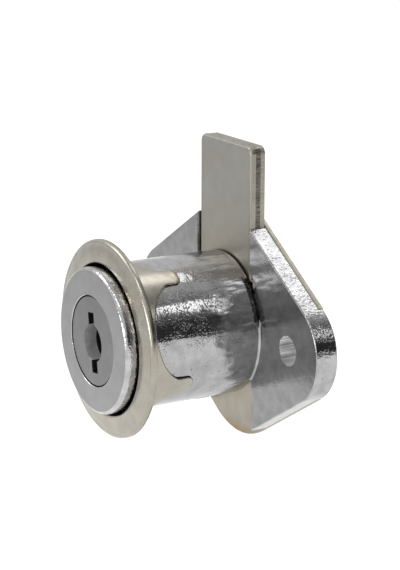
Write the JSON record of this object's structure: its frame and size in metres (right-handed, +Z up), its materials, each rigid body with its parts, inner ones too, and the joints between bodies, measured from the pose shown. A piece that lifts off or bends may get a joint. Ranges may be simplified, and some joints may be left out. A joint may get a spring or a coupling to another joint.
{
  "type": "drawer lock",
  "caption": "Round-barrel drawer lock: turning plug with double keyway, straight sliding bolt, two-eared flange and a sheet rosette gripping the barrel.",
  "frame": {"origin": "on the barrel's axis, in the plane of the flange's front face, where the lock meets the back of the drawer front", "axes": "+X right seen from the front, +Y from the keyhole to the back of the lock, +Z up along the bolt"},
  "size_m": [0.045, 0.0228, 0.04],
  "materials": {
    "chromed_zinc": "bright chrome over a slightly rough zinc die casting; front ring face satin",
    "satin_plug": "satin chrome over zinc",
    "rosette_nickel": "warm semi-bright nickel plate on pressed sheet",
    "bolt_nickel": "warm satin nickel plate on stamped steel",
    "nickel_plate": "warm satin nickel plate on stamped steel",
    "brass": "stamped brass",
    "spring_steel": "bright drawn wire"
  },
  "bodies": {
    "case": {"housing": "chromed_zinc", "back_plate": "nickel_plate"},
    "rosette": {"rosette": "rosette_nickel"},
    "bolt": {"bolt": "bolt_nickel"},
    "plug": {"plug": "satin_plug", "wafer_spring_1": "spring_steel", "wafer_spring_2": "spring_steel", "wafer_spring_3": "spring_steel", "wafer_spring_4": "spring_steel", "wafer_spring_5": "spring_steel", "wafer_spring_6": "spring_steel", "wafer_spring_7": "spring_steel", "retainer_spring": "spring_steel"},
    "wafer_1": {"wafer_1": "brass"},
    "wafer_2": {"wafer_2": "brass"},
    "wafer_3": {"wafer_3": "brass"},
    "wafer_4": {"wafer_4": "brass"},
    "wafer_5": {"wafer_5": "brass"},
    "wafer_6": {"wafer_6": "brass"},
    "wafer_7": {"wafer_7": "brass"},
    "retainer": {"retainer_wafer": "brass"}
  },
  "joints": [
    {"name": "plug_turn", "type": "hinge", "parent": "case", "child": "plug", "pos_m": [0, 0, 0], "axis": [0, 1, 0], "range_deg": [0, 180]},
    {"name": "bolt_slide", "type": "slide", "parent": "case", "child": "bolt", "axis": [0, 0, -1], "range_m": [0, 0.0084]},
    {"name": "rosette_slide", "type": "slide", "parent": "case", "child": "rosette", "axis": [0, 1, 0], "range_m": [0, 0.009]},
    {"name": "wafer_1_slide", "type": "slide", "parent": "plug", "child": "wafer_1", "axis": [-0.1392, 0, 0.9903], "range_m": [-0.0005, 0.0005], "stiffness_N_per_m": 40, "springref_m": 0.0015, "deforming": ["wafer_spring_1"]},
    {"name": "wafer_2_slide", "type": "slide", "parent": "plug", "child": "wafer_2", "axis": [-0.1392, 0, 0.9903], "range_m": [-0.0005, 0.0005], "stiffness_N_per_m": 40, "springref_m": 0.0015, "deforming": ["wafer_spring_2"]},
    {"name": "wafer_3_slide", "type": "slide", "parent": "plug", "child": "wafer_3", "axis": [-0.1392, 0, 0.9903], "range_m": [-0.0005, 0.0005], "stiffness_N_per_m": 40, "springref_m": 0.0015, "deforming": ["wafer_spring_3"]},
    {"name": "wafer_4_slide", "type": "slide", "parent": "plug", "child": "wafer_4", "axis": [-0.1392, 0, 0.9903], "range_m": [-0.0005, 0.0005], "stiffness_N_per_m": 40, "springref_m": 0.0015, "deforming": ["wafer_spring_4"]},
    {"name": "wafer_5_slide", "type": "slide", "parent": "plug", "child": "wafer_5", "axis": [-0.1392, 0, 0.9903], "range_m": [-0.0005, 0.0005], "stiffness_N_per_m": 40, "springref_m": 0.0015, "deforming": ["wafer_spring_5"]},
    {"name": "wafer_6_slide", "type": "slide", "parent": "plug", "child": "wafer_6", "axis": [-0.1392, 0, 0.9903], "range_m": [-0.0005, 0.0005], "stiffness_N_per_m": 40, "springref_m": 0.0015, "deforming": ["wafer_spring_6"]},
    {"name": "wafer_7_slide", "type": "slide", "parent": "plug", "child": "wafer_7", "axis": [-0.1392, 0, 0.9903], "range_m": [-0.0005, 0.0005], "stiffness_N_per_m": 40, "springref_m": 0.0015, "deforming": ["wafer_spring_7"]},
    {"name": "retainer_slide", "type": "slide", "parent": "plug", "child": "retainer", "axis": [-0.9903, 0, -0.1392], "range_m": [-0.0009, 0], "stiffness_N_per_m": 40, "springref_m": 0.001, "deforming": ["retainer_spring"]}
  ],
  "couplings": [
    {"joint": "plug_turn", "follows": "bolt_slide", "rad_per_m": 374}
  ]
}
